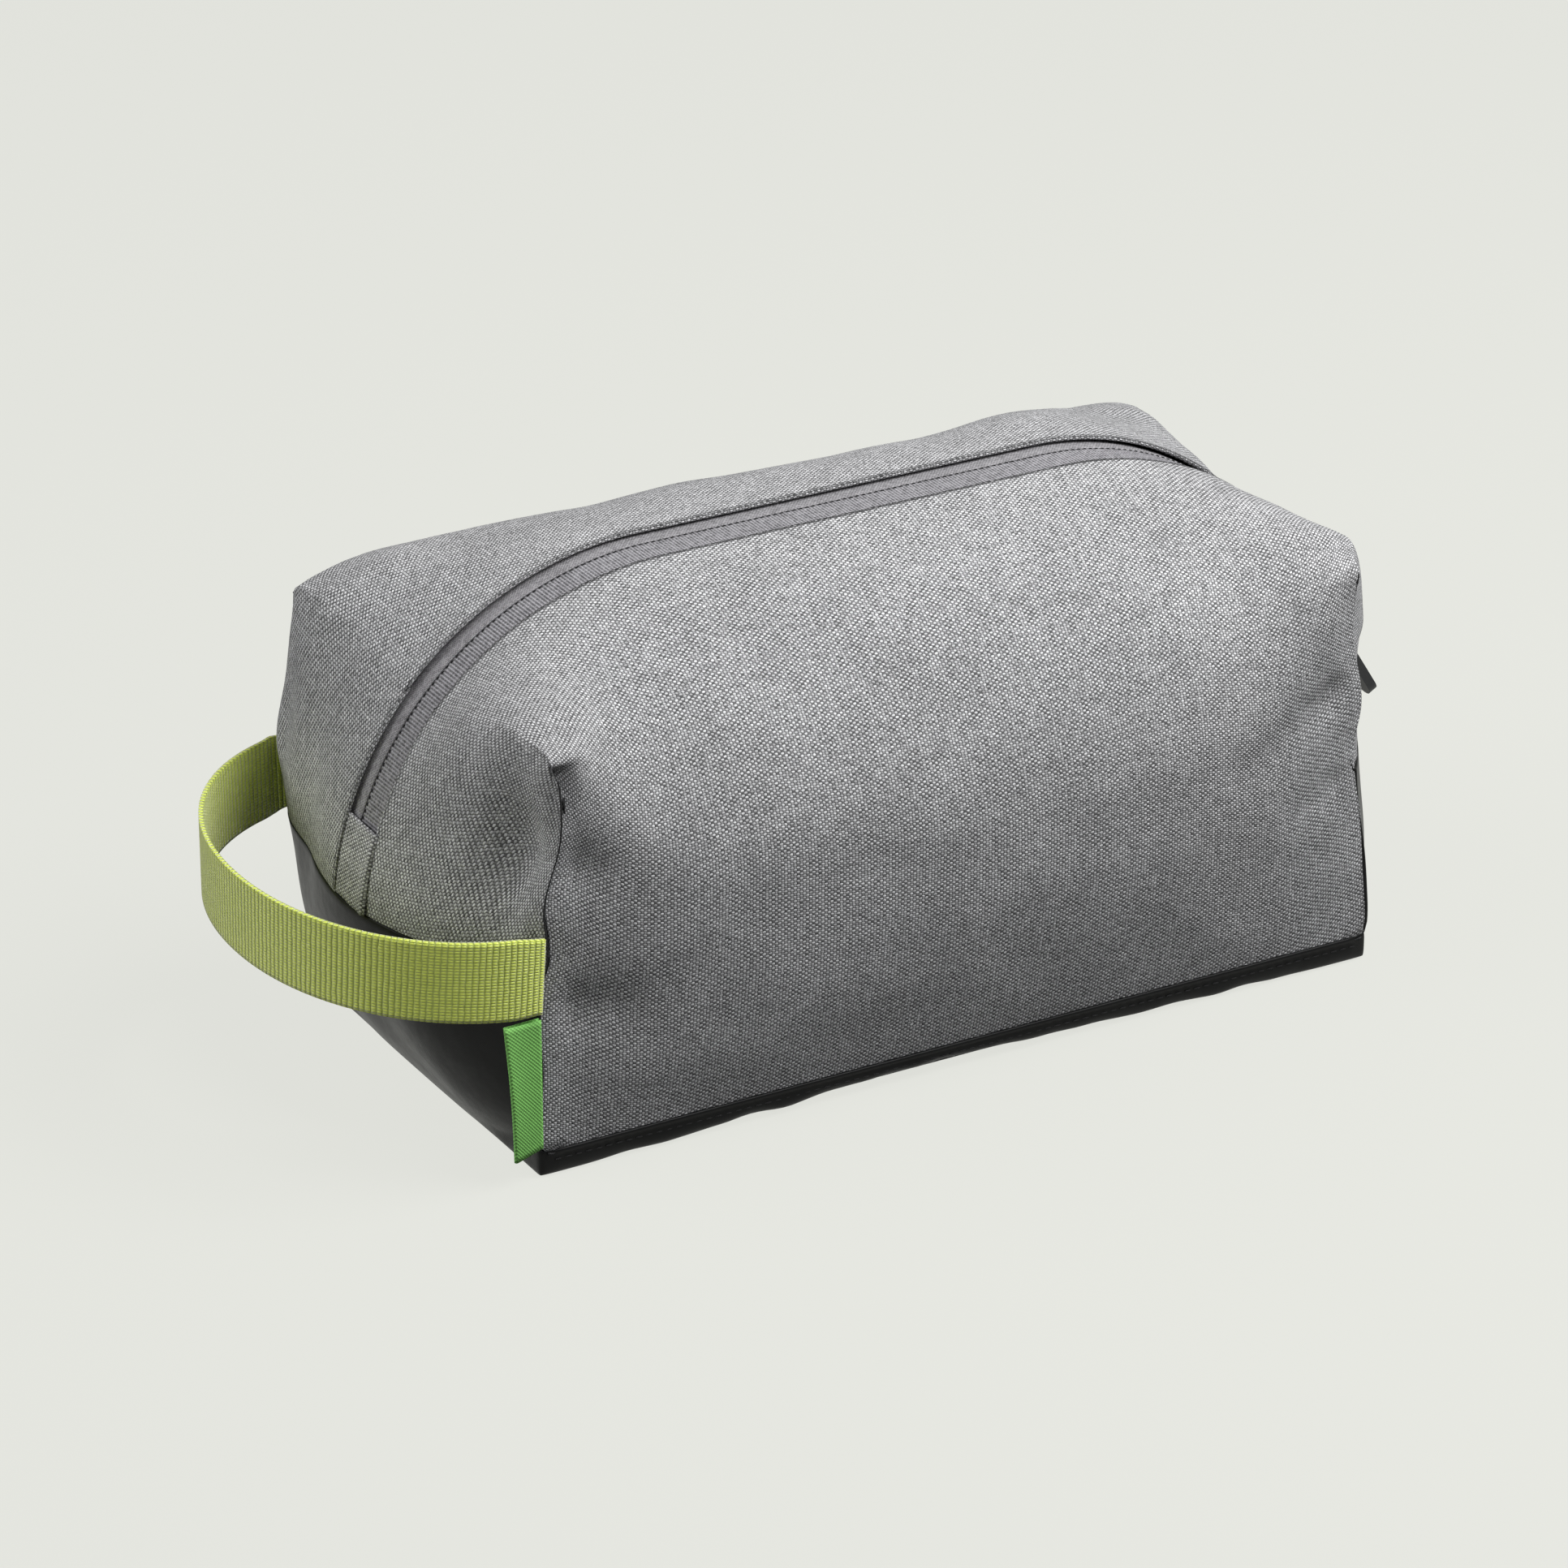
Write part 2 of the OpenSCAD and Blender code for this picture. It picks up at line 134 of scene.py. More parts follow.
def swell(r):
    """How far an end stands out past its seams, at a share r of the way from its middle to its rim."""
    if r >= 1:
        return 0
    return math.sqrt(RADIUS**2 - (SIDE - ARC_Z + r*(END_TOP - SIDE))**2) - (HALF_L - ARC_X)


def end_power(r, s):
    """Squareness of a ring of an end, at a share r of the way out."""
    return ROUND[s] + (SHARP - ROUND[s])*r**PINCH[s]


def end_face(r, a, s, e):
    """A point of an end, on the ring at share r, a being the angle out from the zip."""
    u, w = round_square(a, end_power(r, s))
    return Vector((e*(HALF_L + swell(r)), s*HALF_D*u*r, SIDE + r*(END_TOP - SIDE + RISE*r**4*u*u)*w))


def graded(half, steps):
    """Places from one edge to the other, closer together at both edges."""
    return [half*(t + 0.6*math.sin(math.pi*t)/math.pi) for t in np.linspace(-1, 1, steps + 1)]


def even(points, n):
    """n + 1 points at even distances along a line of points, with the line's length."""
    p = np.array([tuple(q) for q in points])
    d = np.concatenate([[0], np.cumsum(np.linalg.norm(np.diff(p, axis=0), axis=1))])
    t = np.linspace(0, d[-1], n + 1)
    return [Vector([float(np.interp(k, d, p[:, i])) for i in range(3)]) for k in t], float(d[-1])


def grid(bm, columns, uvs, flip, kinds=None):
    """A patch of cloth from columns of points; uvs holds the same columns of flat cloth places.

    kinds says what each column is: 0 front, 1 end, 2 and 3 their turned-in edges, 4 the shared foot. Faces
    between turned-in columns take slot 2, a near-black painted shade of the seam crevice.
    """
    layer = bm.loops.layers.uv.verify()
    marks = bm.verts.layers.int.get("mark") or bm.verts.layers.int.new("mark")
    verts = [[bm.verts.new(p) for p in col] for col in columns]
    for col, kind in zip(verts, kinds or []):
        for v in col:
            v[marks] = kind
    for i in range(len(columns) - 1):
        for j in range(len(columns[0]) - 1):
            ring = [(i, j), (i + 1, j), (i + 1, j + 1), (i, j + 1)]
            if flip:
                ring.reverse()
            corners = [verts[k][m] for k, m in ring]
            if len({tuple(round(c, 7) for c in v.co) for v in corners}) < 3:
                continue
            face = bm.faces.new(corners)
            face.smooth = True
            # Faces between turned-in columns take slot 2: the near-black painted seam shade
            face.material_index = 2 if kinds and min(kinds[i:i + 2]) >= 2 else 0
            for loop, (k, m) in zip(face.loops, ring):
                loop[layer].uv = uvs[k][m]


def mesh_object(name, bm, *materials, weld=FINE):
    """A piece from a bmesh, at the origin."""
    if weld:
        bmesh.ops.remove_doubles(bm, verts=bm.verts, dist=weld)
    mesh = bpy.data.meshes.new(name)
    bm.to_mesh(mesh)
    bm.free()
    for m in materials:
        mesh.materials.append(m)
    piece = bpy.data.objects.new(name, mesh)
    bpy.context.scene.collection.objects.link(piece)
    return piece


def thicken(piece, thickness, offset=-1, lining=0):
    """Give a sheet its thickness, with another material inside where it is lined."""
    m = piece.modifiers.new("cloth", "SOLIDIFY")
    m.thickness = thickness
    m.offset = offset
    m.material_offset = lining
    m.material_offset_rim = 0


# Shader maths: sockets that add and multiply

class Sock:
    def __init__(self, tree, out):
        self.tree, self.out = tree, out

    def make(self, kind, settings=None, out=0, **inputs):
        """A node of any type: its settings, then its inputs by name, or by number as i0, i1."""
        n = self.tree.nodes.new("ShaderNode" + kind)
        for k, v in (settings or {}).items():
            setattr(n, k, v)
        for k, v in inputs.items():
            numbered = k[0] == "i" and k[1:].isdigit()
            socket = n.inputs[int(k[1:]) if numbered else k.replace("_", " ")]
            if isinstance(v, Sock):
                self.tree.links.new(v.out, socket)
            else:
                socket.default_value = v
        return Sock(self.tree, n.outputs[out])

    def math(self, op, *rest, clamp=False):
        args = {f"i{k}": v for k, v in enumerate((self,) + rest)}
        return self.make("Math", {"operation": op, "use_clamp": clamp}, **args)

    def __add__(self, o):
        return self.math("ADD", o)

    def __radd__(self, o):
        return self.math("ADD", o)

    def __mul__(self, o):
        return self.math("MULTIPLY", o)

    def __rmul__(self, o):
        return self.math("MULTIPLY", o)

    def __sub__(self, o):
        return self.math("SUBTRACT", o)

    def __rsub__(self, o):
        return self.math("MULTIPLY", -1) + o

    def __truediv__(self, o):
        return self.math("DIVIDE", o)

    def __pow__(self, o):
        return self.math("POWER", o)

    def floor(self):
        return self.math("FLOOR")

    def fract(self):
        return self.math("FRACT")

    def sin(self):
        return self.math("SINE")

    def abs(self):
        return self.math("ABSOLUTE")

    def clamp(self):
        return self.math("ADD", 0.0, clamp=True)

    def at_least(self, o):
        return self.math("MAXIMUM", o)

    def above(self, o):
        return self.math("GREATER_THAN", o)

    def wave(self, pitch):
        return (self*(2*math.pi/pitch)).sin()

    def mix(self, a, b):
        return self.make("Mix", {"data_type": "RGBA"}, out=2, i0=self, i6=a, i7=b)

    def blend(self, a, b):
        return self.make("Mix", {"data_type": "FLOAT"}, i0=self, i2=a, i3=b)


class Cloth:
    """A material: uv in metres of flat cloth, and a principled shader."""

    def __init__(self, name, **constants):
        self.material = bpy.data.materials.new(name)
        self.material.use_nodes = True
        tree = self.material.node_tree
        self.shader = tree.nodes["Principled BSDF"]
        for k, v in constants.items():
            self.shader.inputs[k.replace("_", " ")].default_value = v
        self.any = Sock(tree, None)
        place = self.any.make("TexCoord", out=2)
        parts = tree.nodes.new("ShaderNodeSeparateXYZ")
        tree.links.new(place.out, parts.inputs[0])
        self.u, self.v = Sock(tree, parts.outputs[0]), Sock(tree, parts.outputs[1])
        self.spot = self.any.make("TexCoord", out=3)

    def vec(self, x, y, z=0.0):
        return self.any.make("CombineXYZ", X=x, Y=y, Z=z)

    def noise(self, where, scale, detail=2.0, rough=0.5):
        return self.any.make("TexNoise", Vector=where, Scale=scale, Detail=detail, Roughness=rough)

    def random(self, value):
        return self.any.make("TexWhiteNoise", {"noise_dimensions": "1D"}, W=value)

    def color(self, value):
        self.any.tree.links.new(value.out, self.shader.inputs["Base Color"])

    def rough(self, value):
        self.any.tree.links.new(value.out, self.shader.inputs["Roughness"])

    def height(self, value, distance, strength=1.0):
        normal = self.any.make("Bump", Height=value, Distance=distance, Strength=strength)
        self.any.tree.links.new(normal.out, self.shader.inputs["Normal"])


def grey(v):
    """A neutral colour, a trace cool."""
    return (v, v, v*1.02, 1)


def melange(name, light, dark, across=0.00100, down=0.00069):
    """Two-tone plain weave: pale weft dots over dark warp, with slubs and uneven dye."""
    c = Cloth(name, Roughness=0.85, Specular_IOR_Level=0.2)
    wave = c.noise(c.spot, 60.0, 2.0)*0.0004 + c.noise(c.spot, 900.0, 3.0)*0.00055
    bow = c.u*0.07 - c.u*c.u*0.35
    u, v = (c.u + wave)/across + 4000.0, (c.v + bow + wave)/down + 4000.0
    iu, iv, fu, fv = u.floor(), v.floor(), u.fract() - 0.5, v.fract() - 0.5
    weft = ((iu + iv)*0.5).fract().above(0.25)
    over = weft.blend(1.0 - (fu*2.4)**2 - (fv*1.7)**2, 1.0 - (fu*1.75)**2 - (fv*1.85)**2)
    dot = over.at_least(0.0)**0.5
    slub_weft = c.noise(c.vec(u*0.11, iv*3.7), 1.0, 3.0, 0.6) - 0.5
    slub_warp = c.noise(c.vec(iu*3.3, v*0.11, 7.0), 1.0, 3.0, 0.6) - 0.5
    speck = c.random(iu*0.173 + iv*7.31) - 0.5
    cloud = c.noise(c.spot, 45.0, 4.0) - 0.5
    yarn = weft.blend(slub_warp*1.0 + 0.29, slub_weft*1.0 + 0.82)
    lit = (yarn + speck*0.30 + cloud*0.25)*(dot*0.78 + 0.22)
    c.color(lit.at_least(0.11).clamp().mix(grey(dark), grey(light)))
    fuzz = c.noise(c.spot, 2600.0, 2.0)
    c.height(dot + weft*0.2 + fuzz*0.35, 0.0003, 0.6)
    return c.material


def coated(name):
    """Black coated cloth: a fine weave under a soft sheen."""
    c = Cloth(name, Base_Color=(0.006, 0.0062, 0.0064, 1), Specular_IOR_Level=0.14)
    fine = c.u.wave(0.0007)*c.v.wave(0.0007)
    soft = c.noise(c.spot, 55.0, 3.0, 0.45)
    c.rough(c.noise(c.spot, 300.0, 3.0)*0.12 + 0.34)
    c.height(fine*0.02 + soft*1.2, 0.0012, 0.5)
    return c.material


def tape(name, tone, depth, row_w=0.00066, loop_l=0.00105):
    """Zip tape: knit loops in rows along its length, with ribs across its width."""
    c = Cloth(name, Roughness=0.8, Specular_IOR_Level=0.2)
    ribs = c.u.wave(loop_l)*0.5 + 0.5
    rows = c.v/row_w + 300.0
    row, across = rows.floor(), rows.fract() - 0.5
    loops = c.u/loop_l + (row*0.5).fract() + 300.0
    loop, along = loops.floor(), loops.fract() - 0.5
    stitch = (1.0 - (across*1.9)**2 - (along*1.7)**2).at_least(0.0)**0.5
    speck = c.random(row*3.7 + loop*0.613) - 0.5
    lit = ribs*depth + stitch*(1.0 - depth) + speck*0.45 + c.noise(c.spot, 700.0, 3.0)*0.3 - 0.12
    dark = tuple(t*0.12 for t in tone[:3]) + (1,)
    c.color(lit.clamp().mix(dark, tone))
    c.height(ribs*depth*1.4 + stitch*0.7, 0.0004, 0.8)
    return c.material


def webbing(name, count=27, float_l=0.00176):
    """Ribbed strap: short flat floats in rows along the length, in line from row to row."""
    c = Cloth(name, Roughness=0.40, Specular_IOR_Level=1.0, Sheen_Weight=1.0, Sheen_Roughness=0.4,
              Sheen_Tint=(1.0, 1.0, 0.8, 1))
    rows = c.v*(count/WEB_W) + 500.0
    row, across = rows.floor(), rows.fract() - 0.5
    cells = c.u/float_l + c.noise(c.spot, 300.0)*0.3 + 500.0
    cell, along = cells.floor(), cells.fract() - 0.5
    float_ = (1.0 - (across.abs()*2.0)**3.0*0.55)*(1.0 - (along.abs()*2.0)**2.6)
    speck = c.random(row*3.17 + cell*0.719)
    cloud = c.noise(c.spot, 90.0, 3.0)
    lit = (float_*0.72 + 0.42 + (speck - 0.5)*0.2 + (cloud - 0.5)*0.2).clamp()
    c.color(lit.mix((0.20, 0.32, 0.005, 1), (0.86, 1.0, 0.12, 1)))
    c.height(float_ + c.noise(c.spot, 3000.0)*0.2, 0.0005, 0.9)
    return c.material


def plain_weave(name, tone, pitch=0.0005, rough=0.85, contrast=0.35):
    """Plain cloth in one colour, with its threads and a little unevenness."""
    c = Cloth(name, Roughness=rough, Specular_IOR_Level=0.25)
    a, b = c.u.wave(2*pitch), c.v.wave(2*pitch)
    lit = (a*b)*contrast*0.5 + c.noise(c.spot, 400.0, 3.0)*0.4 + 0.5
    dark = tuple(t*0.45 for t in tone[:3]) + (1,)
    c.color(lit.clamp().mix(dark, tone))
    c.height(a*b, 0.00015, 0.6)
    return c.material


def moulded(name, tone, rough, metallic=0.0):
    """Moulded or cast material: a fine grain, with wear in colour and gloss."""
    c = Cloth(name, Metallic=metallic)
    wear = c.noise(c.spot, 140.0, 4.0)
    c.color((wear*0.5 + 0.25).clamp().mix(tuple(t*0.75 for t in tone[:3]) + (1,), tone))
    c.rough(wear*0.2 + (rough - 0.1))
    c.height(c.noise(c.spot, 2200.0, 2.0), 0.00008, 0.5)
    return c.material


GREY = melange("melange_cloth", 0.97, 0.02)
LINING = plain_weave("lining", (0.10, 0.10, 0.105, 1), 0.0004)
BLACK = coated("coated_cloth")
BACKING = plain_weave("coated_backing", (0.055, 0.055, 0.058, 1), 0.0005)
TAPE_RIB = tape("zip_tape_ribbed", (0.52, 0.51, 0.54, 1), 0.62)
TAPE = tape("zip_tape", (0.47, 0.46, 0.48, 1), 0.1)
COIL = moulded("zip_coil", (0.02, 0.02, 0.021, 1), 0.4)
THREAD = plain_weave("thread", (0.018, 0.018, 0.019, 1), 0.0003, 0.7)
METAL = moulded("slider_metal", (0.05, 0.05, 0.053, 1), 0.38, 0.8)
RUBBER = moulded("puller_rubber", (0.022, 0.023, 0.025, 1), 0.55)
LIME = webbing("webbing")
LABEL = plain_weave("label_weave", (0.31, 0.76, 0.19, 1), 0.0006, 0.7, 0.8)
# Near-black cloth for the turned-in seam edges: painted shade of the seam crevice, not the grey cloth's own
# colour
SEAM_SHADE = plain_weave("seam_painted_shade", (0.020, 0.020, 0.021, 1), 0.0005)
BINDING = plain_weave("binding_tape", (0.035, 0.035, 0.037, 1), 0.0008)


# Grey cloth: front and back, each one shell from the zip over the shoulder to the base

# Rows of a column above and below the widest level, radius of the edge turned under at the zip
UP_ROWS, LOW_ROWS, HEM = 76, 32, 0.0007
# Run of the cloth under that edge, and its lowest row behind the base strip
UNDER_RUN = (0.0036, 0.0024, 0.0012)
LOWEST = 0.0025
# Flat distance between the columns of a turned-in edge, and between the rows of the hem
TURN_STEP, HEM_STEP = 0.0004, 0.0005

# Creases that run out from the upright seams: start at the seam, end in the cloth, depth, half width
DRAWS = (
    (Vector((0.1340, -0.072, 0.0930)), Vector((0.0880, -0.074, 0.0710)), 0.0024, 0.0055),
    (Vector((0.1340, -0.071, 0.0620)), Vector((0.1060, -0.073, 0.0530)), 0.0020, 0.0050),
    (Vector((-0.1320, -0.070, 0.0500)), Vector((-0.0960, -0.073, 0.0480)), 0.0024, 0.0070),
    (Vector((-0.1300, -0.071, 0.0940)), Vector((-0.0960, -0.076, 0.0850)), 0.0020, 0.0085),
    (Vector((-0.1360, 0.071, 0.0900)), Vector((-0.0950, 0.074, 0.0690)), 0.0020, 0.0055),
    (Vector((0.1360, 0.071, 0.0800)), Vector((0.1000, 0.074, 0.0620)), 0.0020, 0.0055))

# Hollows of the end cloth beside the seams: centre, half width, half height, depth
HOLLOWS = (
    (Vector((-0.147, -0.059, 0.098)), 0.0110, 0.018, 0.0092),
    (Vector((-0.149, 0.058, 0.100)), 0.0090, 0.018, 0.0026),
    (Vector((0.147, -0.060, 0.090)), 0.0085, 0.016, 0.0030),
    (Vector((0.148, 0.059, 0.096)), 0.0090, 0.018, 0.0030))


def lean(p):
    """Sideways draw of the upright seams of the filled bag, most at the front ears."""
    e = 1 if p.x > 0 else -1
    if p.y > 0:
        d = -0.0092*bump((p.z - 0.088)/0.052)*ramp(p.z, 0.0, 0.03) if e < 0 else 0.0
    elif e > 0:
        d = 0.0066*ramp(p.z, 0.012, 0.080)
    else:
        d = 0.0063*min(1.1, (p.z/0.13)**2)
    inner = 0.010 + 0.042*ramp(p.z, 0.076, 0.104) if e > 0 and p.y < 0 else 0.030
    return -e*d*ramp(abs(p.y), inner, 0.068)*min(1, abs(p.x)/HALF_L)**2


def roof_edge(x):
    """Height of the edge between roof and wall near an end."""
    return SIDE + (zip_z(x) - SIDE + RISE*(abs(x)/HALF_L)**6*0.9)*0.958


def soft(p, s):
    """Small soft swells of packed cloth."""
    q = p*1000
    n = noise.noise(Vector((q.x*0.021, q.y*0.021 + 31*s, q.z*0.026)))
    m = noise.noise(Vector((q.x*0.055 + 9, q.y*0.055 + 17*s, q.z*0.05)))
    return 0.0011*n + 0.0005*m


def drawn(p):
    """Depth of the creases at a point of the walls."""
    deep = 0
    for a, b, depth, wide in DRAWS:
        t = min(max((p - a).dot(b - a)/(b - a).length_squared, 0), 1)
        d = (p - a - (b - a)*t).length
        deep += depth*(1 - t)**0.7*bump(d/(wide*(1 + 0.8*t)))
    return deep


def hollow(p):
    """Depth of the hollows at a point of an end."""
    deep = 0
    for c, wide, high, depth in HOLLOWS:
        if (p - c).length < 0.06:
            across = math.hypot(p.x - c.x, p.y - c.y)
            deep += depth*bump(across/wide)*bump((p.z - c.z)/high)
    return deep


def sag(p, s):
    """Rise and fall of the roof: the ridge over each end, and the slack of the back edge."""
    d = 0.0026*bump((abs(p.x) - 0.138)/0.018)*ramp(abs(p.y), 0.012, 0.030)*ramp(abs(p.y), 0.066, 0.050)
    if s < 0 and p.x < 0:
        d -= 0.0032*bump((p.x + 0.138)/0.016)*ramp(-p.y, 0.048, 0.064)
    if s < 0 and p.x > 0:
        d -= 0.0026*bump((p.x - 0.134)/0.014)*ramp(-p.y, 0.046, 0.062)
    if s > 0:
        slack = 0.0026*bump((p.x + 0.042)/0.032) - 0.0034*bump((p.x - 0.108)/0.022)
        d += (slack - 0.0014*bump((p.x + 0.098)/0.020))*ramp(p.y, 0.015, 0.050)*ramp(p.z, 0.100, 0.125)
    return d*ramp(p.z, 0.085, 0.115)


def settle(p, normal, s, kind):
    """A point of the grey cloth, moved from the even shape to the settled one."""
    e = 1 if p.x > 0 else -1
    on_end = kind in (1, 3)
    # Nothing swells at the zip, at the base and at the upright seams
    calm = ramp(abs(p.y) - EDGE[s], 0.003, 0.020)
    calm *= ramp(p.z, SIDE, SIDE + 0.014) if on_end and abs(p.y) < HALF_D - 0.004 else ramp(p.z, 0.006, 0.028)
    away = max(0, HALF_D - abs(p.y) if on_end else HALF_L - abs(p.x))
    below = roof_edge(HALF_L) - p.z
    side = ramp(abs(p.y), 0.050, 0.062)
    seam = side*ramp(below, 0.000, 0.008)
    calm *= 1 - seam*ramp(away, 0.012, 0.003)
    loose = 1 - roll(p)/ROLL if kind == 4 else 1
    q = p + normal*((soft(p, s) - drawn(p))*calm*loose)
    if on_end:
        q.x += e*(seam*0.0008*bump((away - 0.006)/0.004) - hollow(p))
    else:
        tuck = side*bump((away - 0.003)/0.007)*ramp(below, 0.001, 0.005)*ramp(below, 0.026, 0.007)
        q.y -= s*(seam*0.0018*ramp(away, 0.034, 0.010) + 0.0034*tuck)*loose*(1 if front_left(e, s) else 0.15)
    if kind == 4:
        q.x -= e*hollow(Vector((e*(HALF_L + swell(abs(p.y)/HALF_D)), p.y, p.z)))
    # The lower corners stay behind the base
    tucked = ramp(p.z, 0.0090, 0.0060)*ramp(HALF_L - abs(p.x), 0.012, 0.004)
    q -= Vector((e*0.0022, s*0.0012, 0))*tucked
    q.z += sag(p, s)
    wander = 0.0018*math.sin((p.z - 0.068)/0.0105)*ramp(p.z, 0.066, 0.085) + 0.0004*math.sin(p.z/0.006)
    q.x += lean(p) + e*wander*seam*bump(away/0.009)
    return q


def relax(bm, weight, rounds):
    """Even out the marked points of a mesh, each in or out towards the level of its neighbours."""
    marked = [(v, weight(v.co)) for v in bm.verts]
    marked = [(v, w, [e.other_vert(v) for e in v.link_edges]) for v, w in marked if w > 0.01]
    for _ in range(rounds):
        bm.normal_update()
        steps = []
        for v, w, near in marked:
            middle = sum((n.co for n in near), Vector())/len(near)
            steps.append(v.normal*(0.6*w*(middle - v.co).dot(v.normal)))
        for (v, _, _), step in zip(marked, steps):
            v.co += step


def hem_rows(p, normal, s):
    """Cloth turned under at the zip: from under the edge, round it, to the outer face."""
    inward = Vector((0, -s, 0))
    core = p - normal*HEM - inward*HEM
    rows = [core - normal*(HEM + 0.3*d) - inward*d for d in UNDER_RUN]
    for k in range(0, 6):
        f = math.pi*(1 - k/6)
        rows.append(core + normal*(HEM*math.cos(f)) + inward*(HEM*math.sin(f)))
    return rows


def arch_normal(x):
    """Way out of the zip's arch at a place along the length."""
    if abs(x) <= ARC_X:
        return Vector((0, 0, 1))
    d = Vector((x - math.copysign(ARC_X, x), 0, zip_z(x) - ARC_Z))
    return d.normalized()


ROLL, SPREAD = 0.0012, 0.016
# Size of each turned edge and its distance from the seam, in turns of ROLL, for the end and the front or
# back, and the place of the shared foot: the end laps over the front at the left, under it elsewhere
EDGES = {True: ((1, 1), (0.4, 3.1)), False: ((0.4, 1.6), (1, 1))}
FOOT = {True: Vector((0.0020, 0.0052, 0)), False: Vector((0.0050, 0.0022, 0))}


def front_left(e, s):
    """True at the one seam that shows in front of the handle."""
    return e < 0 and s < 0


def roll(p):
    """Radius that the cloth turns in by at an upright seam: none where it runs on over the ear."""
    tight = 0.45 + 0.55*ramp(p.z, 0.056, 0.072) if front_left(p.x, p.y) else 0.7
    return ROLL*tight*ramp(roof_edge(HALF_L) - p.z, 0.001, 0.009)*ramp(abs(p.y), 0.050, 0.060)


def give_way(away, shift):
    """Distance from the seam of cloth that makes room for its turned-in edge."""
    return away + shift*(1 - away/SPREAD) if away < SPREAD else away


def turned_in(edge, along, out, size, back):
    """Columns that turn the cloth in at a seam: edge is the column of seam points, along the way to it."""
    cols = []
    for k in range(1, 9):
        f = math.radians(135)*k/8
        turn = (out*math.cos(f) + along*math.sin(f) - out)*size - along*back
        cols.append([p + turn*roll(p) for p in edge])
    side = -(along + out)
    foot = FOOT[front_left(edge[0].x, edge[0].y)]
    inward = Vector((foot.x*side.x, foot.y*side.y, 0))
    deep = [p + inward*(roll(p)/ROLL) for p in edge]
    return cols + [[q.lerp(f, t) for q, f in zip(cols[7], deep)] for t in (0.3, 0.6, 1)]


def main_column(x, s):
    """A column of the long panel, from under the zip to the base, with its flat cloth places."""
    a0 = start_angle(EDGE[s]/half_width(x), power(x, s))
    line = [upper(x, a, s) for a in np.linspace(a0, math.pi/2, 240)]
    up, length = even(line + [Vector((x, s*half_width(x), SIDE))], UP_ROWS)
    low, drop = even([wall(x, z, s) for z in np.linspace(SIDE, LOWEST, 40)], LOW_ROWS)
    hem = hem_rows(up[0], arch_normal(x), s)
    over = math.copysign(ARC_X + RADIUS*math.asin((abs(x) - ARC_X)/RADIUS), x) if abs(x) > ARC_X else x
    flat = [(over, HEM_STEP*(len(hem) - k)) for k in range(len(hem))]
    for j in range(UP_ROWS):
        d = length*j/UP_ROWS
        flat.append((over + (x - over)*ramp(d, 0.045, 0.105), -d))
    flat += [(x, -length - drop*j/LOW_ROWS) for j in range(LOW_ROWS + 1)]
    return hem + up + low[1:], flat


def end_column(r, s, e):
    """A column of the end part of a panel, on the ring at share r, with its flat cloth places."""
    a0 = start_angle(EDGE[s]/(HALF_D*r), end_power(r, s))
    up, _ = even([end_face(r, a, s, e) for a in np.linspace(a0, math.pi/2, 240)], UP_ROWS)
    flat = []
    for p in up:
        level = p.z - RISE*(p.y/HALF_D)**2
        slant = 0.0075*(abs(p.y)/HALF_D)**2.4*ramp(END_TOP - level, 0.0, 0.030)
        flat.append((e*(ARC_X + RADIUS*math.acos((level - ARC_Z)/RADIUS)), EDGE[s] - abs(p.y) - slant))
    d = Vector((up[0].x - e*ARC_X, 0, up[0].z - ARC_Z)).normalized()
    hem = hem_rows(up[0], d, s)
    return hem + up, [(flat[0][0], HEM_STEP*(len(hem) - k)) for k in range(len(hem))] + flat


def front_patch(s):
    """Columns of the long panel with its turned-in edges, from left to right."""
    xs = graded(HALF_L, 150)
    made = [main_column(x, s) for x in xs]
    edges = {-1: made[0], 1: made[-1]}
    cols, flat = [], []
    for x, (col, uv) in zip(xs, made):
        e = 1 if x > 0 else -1
        _, back = EDGES[front_left(e, s)][1]
        away = [give_way(HALF_L - abs(x), back*roll(p)) for p in col]
        cols.append([Vector((e*(HALF_L - d), p.y, p.z)) for p, d in zip(col, away)])
        flat.append(uv)
    for e in (-1, 1):
        extra = turned_in(edges[e][0], Vector((e, 0, 0)), Vector((0, s, 0)), *EDGES[front_left(e, s)][1])
        places = [[(u + e*TURN_STEP*(k + 1), v) for u, v in edges[e][1]] for k in range(len(extra))]
        if e < 0:
            cols, flat = extra[::-1] + cols, places[::-1] + flat
        else:
            cols, flat = cols + extra, flat + places
    return cols, flat, s < 0, [4] + [2]*6 + [0]*(len(cols) - 14) + [2]*6 + [4]


def end_patch(s, e):
    """Columns of the end part of a panel, from the zip to its turned-in edge at the seam."""
    first = EDGE[s]*1.03/HALF_D
    made = [end_column(first + (1 - first)*(1 - (1 - t)**1.5), s, e) for t in np.linspace(0, 1, 45)]
    size, back = EDGES[front_left(e, s)][0]
    cols, flat = [], []
    for col, uv in made:
        away = [give_way(HALF_D - abs(p.y), back*roll(p)) for p in col]
        cols.append([Vector((p.x, s*(HALF_D - d), p.z)) for p, d in zip(col, away)])
        flat.append(uv)
    edge, uv = made[-1]
    extra = turned_in(edge, Vector((0, s, 0)), Vector((e, 0, 0)), size, back)
    cols += extra
    flat += [[(u, v - TURN_STEP*(k + 1)) for u, v in uv] for k in range(len(extra))]
    kinds = [1]*(len(cols) - 7) + [3]*6 + [4]
    return (cols, flat, s < 0, kinds) if e < 0 else (cols[::-1], flat[::-1], s < 0, kinds[::-1])


